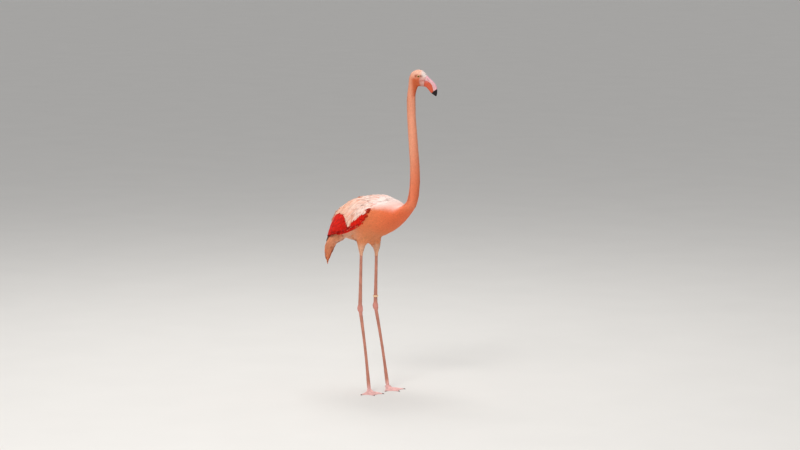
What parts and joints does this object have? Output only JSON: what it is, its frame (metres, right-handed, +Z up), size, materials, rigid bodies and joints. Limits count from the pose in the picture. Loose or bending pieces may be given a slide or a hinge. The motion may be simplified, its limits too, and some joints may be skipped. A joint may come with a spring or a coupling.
{
  "type": "greater flamingo",
  "caption": "Still life-size model of a standing greater flamingo, neck raised and bent bill lowered, with folded wings, webbed feet and a plain leg ring.",
  "frame": {"origin": "on the floor, at the middle of the whole bird's box seen from above", "axes": "+X forward along the body, +Y to the bird's left, +Z up"},
  "size_m": [0.5886, 0.2352, 1.3872],
  "materials": {
    "plumage_salmon": "matt, soft feathers",
    "plumage_pale": "matt, soft feathers",
    "leg_skin": "matt scaled skin",
    "bill_horn_pink": "satin horn, black at the tip",
    "bill_horn_orange": "satin horn, black at the tip",
    "claw_horn": "satin horn",
    "eye": "wet gloss",
    "ring_plastic": "moulded"
  },
  "bodies": {
    "root": {"ankle_left": "leg_skin", "ankle_right": "leg_skin", "bill_lower": "bill_horn_orange", "bill_upper": "bill_horn_pink", "claw_left_1": "claw_horn", "claw_left_2": "claw_horn", "claw_left_3": "claw_horn", "claw_right_1": "claw_horn", "claw_right_2": "claw_horn", "claw_right_3": "claw_horn", "eye_left": "eye", "eye_right": "eye", "foot_left": "leg_skin", "foot_right": "leg_skin", "head": "plumage_pale", "hind_toe_left": "leg_skin", "hind_toe_right": "leg_skin", "leg_ring": "ring_plastic", "neck_lower": "plumage_salmon", "neck_middle": "plumage_salmon", "neck_upper": "plumage_salmon", "shank_left": "leg_skin", "shank_right": "leg_skin", "tail": "plumage_salmon", "tarsus_left": "leg_skin", "tarsus_right": "leg_skin", "thigh_left": "plumage_pale", "thigh_right": "plumage_pale", "trunk": "plumage_salmon", "wing_left": "plumage_pale", "wing_right": "plumage_pale"}
  },
  "joints": []
}
